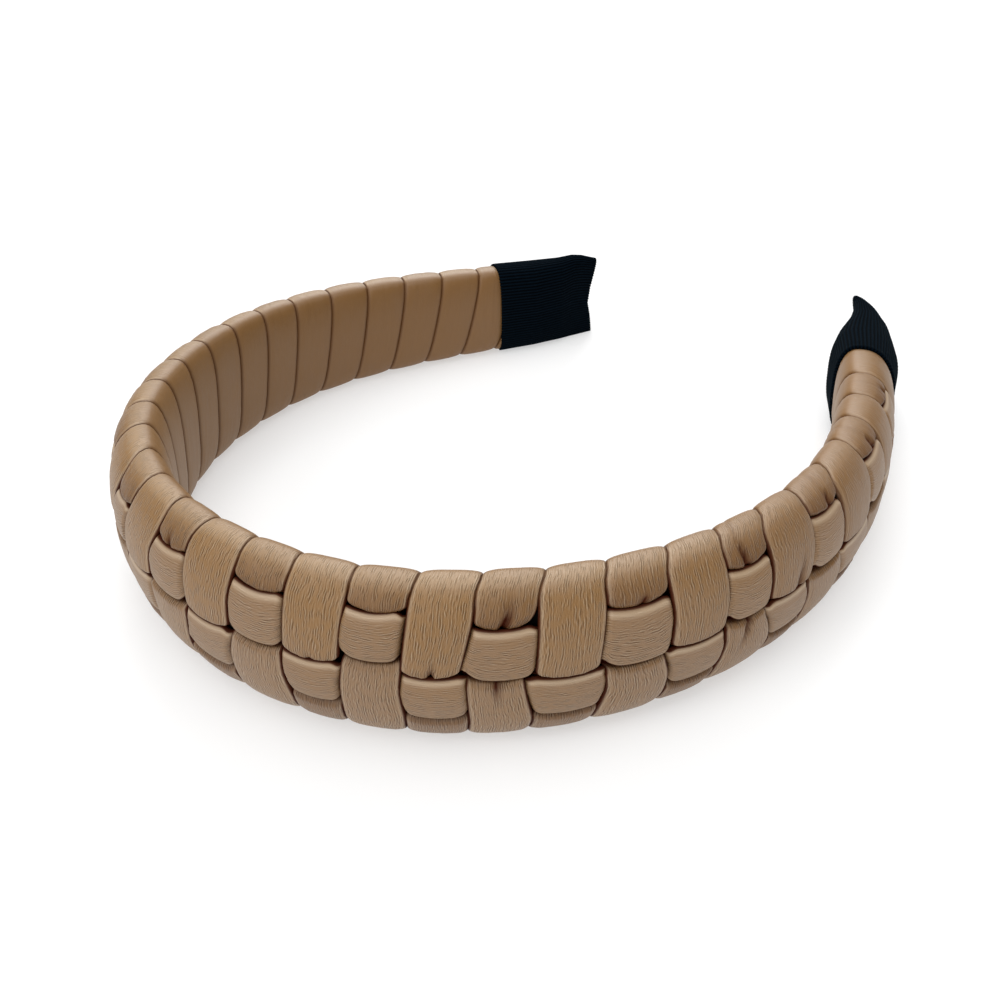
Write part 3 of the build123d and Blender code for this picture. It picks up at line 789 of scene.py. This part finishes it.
cloth = node(tree, MIX, COLOURS, i0=threads, i6=linear(RIBBON_BLACK), i7=linear(RIBBON_BLUE)).outputs[2]
# Painted shade: near black between the ribs, where the stored crest is low
colour = node(tree, MIX, COLOURS, i0=crest, i6=linear(SHADE_BETWEEN_RIBS), i7=cloth).outputs[2]
fibres = node(tree, "ShaderNodeTexNoise", Vector=objects, Scale=FIBRES / MM, Detail=1.0)
bump = node(tree, "ShaderNodeBump", Strength=FIBRE_STRENGTH, Distance=FIBRE_DEPTH * MM, Height=fibres)
shader = node(tree, "ShaderNodeBsdfPrincipled", Base_Color=colour, Roughness=RIBBON_ROUGHNESS, Normal=bump)
shader.inputs["Specular IOR Level"].default_value = RIBBON_SPECULAR
shader.inputs["Sheen Weight"].default_value = SHEEN
shader.inputs["Sheen Roughness"].default_value = SHEEN_ROUGHNESS
shader.inputs["Sheen Tint"].default_value = linear(SHEEN_TINT)
node(tree, "ShaderNodeOutputMaterial", Surface=shader)

# Ribs that follow the sleeve: each point is raised by a wave of its place round the sleeve
ribs, given = geometry_tree("ribbon ribs", "Rib Count", "Rib Height")
around = node(ribs, "GeometryNodeInputNamedAttribute", {"data_type": "FLOAT"}, Name="around")
phase = node(ribs, MATH, TIMES, i0=around, i1=given["Rib Count"])
phase = node(ribs, MATH, TIMES, i0=phase, i1=2 * pi)
wave = node(ribs, MATH, {"operation": "COSINE"}, i0=phase)
crest = node(ribs, RANGE, Value=wave, From_Min=-1.0, From_Max=1.0)
stored = node(ribs, "GeometryNodeStoreNamedAttribute", Geometry=given["Geometry"], Name="crest", Value=crest)
lift = node(ribs, MATH, TIMES, i0=crest, i1=given["Rib Height"])
raise_surface(ribs, given, stored, lift)


def closed_end(start, ring, lowest):
    """Faces of a sleeve's closed end, flat between its two walls, so that its waves stay open."""
    walls = [[start + (lowest + step * j) % ring for j in range(ring // 2 + 1)] for step in (1, -1)]
    corners = [(walls[0][j], walls[0][j + 1], walls[1][j + 1], walls[1][j]) for j in range(ring // 2)]
    return [list(dict.fromkeys(corner)) for corner in corners]


for side, name, mouth, pinch, columns in (
        (-1, "tip_ribbon_left", LEFT_MOUTH, PINCH_LEFT, (1, 2)),
        (1, "tip_ribbon_right", RIGHT_MOUTH, PINCH_RIGHT, (3, 4))):
    outline_angles = np.linspace(-180, 180, OUTLINE_POINTS)
    run = lengths_along(skin(mouth, outline_angles, -PROUD))
    rib_count = round(run[-1] / RIB_SPACING)
    around = np.linspace(0, 1, rib_count * RIB_POINTS + 1)[:-1]
    angles = np.interp(around * run[-1], run, outline_angles)
    share = SLEEVE_SHARES[:, None]
    deep, wide, shift = (np.interp(share, pinch[:, 0], pinch[:, column]) for column in (1, 2, 3))
    height = height_share(angles)[None, :]
    reach, turn_out = (np.interp(height, ENDS[:, 0], ENDS[:, column]) for column in columns)
    late = smooth(share, END_FROM, 1.0)
    s = mouth + side * (share * RIBBON_LENGTH + reach * late)
    heading = np.interp(s, LINE_S, LINE[2])
    outwards = np.stack((np.sin(heading), -np.cos(heading), np.zeros(heading.shape)), axis=-1)
    outwards = outwards * (turn_out * late + shift)[:, :, None] * MM
    outer = skin(s, angles[None, :], -PROUD, deep, wide) + outwards
    at_mouth = slice(0, MOUTH_RINGS)
    inner = skin(s[at_mouth], angles[None, :], RIBBON_WALL - PROUD, deep[at_mouth], wide[at_mouth])[::-1]
    rings = np.concatenate((inner, outer))
    rings[:, :, 2] = np.maximum(rings[:, :, 2], 0.0)        # it rests on the floor
    count, ring = rings.shape[:2]
    lowest = int(np.argmin(np.abs(angles + 90)))            # the point where its two walls meet below
    end_faces = closed_end((count - 1) * ring, ring, lowest) + [list(range(ring))[::-1]]
    piece = ring_mesh(name + "_grosgrain", rings, end_faces, {"around": around[None, :]}, side > 0)
    run_tree(piece, ribs, {"Rib Count": float(rib_count), "Rib Height": RIB_HEIGHT * MM, "Material": ribbon})
    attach(piece, "root")
    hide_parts(name)

# The studio: a pale paper floor that runs out of sight, under soft light from above, behind and in
# front, and the camera, placed and turned as the photograph's was.
FLOOR_REACH = 6.0         # metres each way
PAPER_GREY, PAPER_ROUGHNESS, PAPER_SPECULAR = "#BCBCBC", 0.9, 0.1
WHITE, PAPER_GLOW = "#FFFFFF", 0.5
floor_corners = [(x * FLOOR_REACH, y * FLOOR_REACH, 0) for x, y in ((-1, -1), (1, -1), (1, 1), (-1, 1))]
floor_mesh = bpy.data.meshes.new("floor")
floor_mesh.from_pydata(floor_corners, [], [(0, 1, 2, 3)])
floor = add_object("floor", floor_mesh)
# Matt paper, lit so evenly that it stays nearly white, with a soft shadow.
paper, tree = material("paper backdrop")
shader = node(tree, "ShaderNodeBsdfPrincipled", Base_Color=linear(PAPER_GREY), Roughness=PAPER_ROUGHNESS)
shader.inputs["Emission Color"].default_value = linear(WHITE)
shader.inputs["Emission Strength"].default_value = PAPER_GLOW
shader.inputs["Specular IOR Level"].default_value = PAPER_SPECULAR
node(tree, "ShaderNodeOutputMaterial", Surface=shader)
floor_mesh.materials.append(paper)

# Faint light from all round, as from the studio's walls
AMBIENT = 0.16
world = bpy.data.worlds.new("studio")
world.use_nodes = True
world.node_tree.nodes["Background"].inputs["Color"].default_value = linear(WHITE)
world.node_tree.nodes["Background"].inputs["Strength"].default_value = AMBIENT
bpy.context.scene.world = world

# Soft lights: where each comes from, its strength, and how wide it is in degrees
LIGHTS = {
    "key from the front left": ((-0.45, -0.80, 0.65), 0.75, 25),
    "key from the front right": ((0.25, -0.90, 0.50), 0.58, 25),
    "wide light from behind": ((-0.45, 0.65, 0.60), 1.65, 40),
    "fill from the right": ((1.00, -0.25, 0.16), 0.17, 15),
    "softbox above": ((0.0, 0.0, 1.0), 1.95, 60),
}
for name, (direction, strength, width) in LIGHTS.items():
    lamp = bpy.data.lights.new(name, "SUN")
    lamp.energy = strength
    lamp.angle = radians(width)
    holder = add_object(name, lamp)
    holder.rotation_euler = Vector(direction).to_track_quat("Z", "Y").to_euler()

# The camera: its direction from the object and its roll, its distance in metres from a point on the
# floor, and its lens, with the picture's centre and size in pixels of the photograph
AZIMUTH, ELEVATION, ROLL = radians(38.853), radians(37.554), radians(-3.33)
DISTANCE, NEAREST = 0.22729, 0.005
AIM = (Vector((4.80, 62.16, 0.0)) + Vector(CROWN.tolist())) * MM
FOCAL_PIXELS, CENTRE_X, CENTRE_Y, FRAME_PIXELS = 1030.24, 475.454, 508.077, 1000.0
SENSOR_WIDTH = 36.0
back = Vector((sin(AZIMUTH) * cos(ELEVATION), -cos(AZIMUTH) * cos(ELEVATION), sin(ELEVATION)))
right = (-back).cross(Vector((0, 0, 1))).normalized()
up = right.cross(-back)
level_right = right * cos(ROLL) + up * sin(ROLL)
level_up = -right * sin(ROLL) + up * cos(ROLL)
turned = Matrix((level_right, level_up, back)).transposed().to_4x4()
camera_data = bpy.data.cameras.new("camera")
camera = add_object("camera", camera_data)
camera.matrix_world = Matrix.Translation(AIM + back * DISTANCE) @ turned
camera_data.sensor_width = SENSOR_WIDTH
camera_data.lens = FOCAL_PIXELS / FRAME_PIXELS * SENSOR_WIDTH
camera_data.shift_x = (FRAME_PIXELS / 2 - CENTRE_X) / FRAME_PIXELS
camera_data.shift_y = (CENTRE_Y - FRAME_PIXELS / 2) / FRAME_PIXELS
camera_data.clip_start = NEAREST
bpy.context.scene.camera = camera
bpy.context.scene.view_settings.view_transform = "Standard"
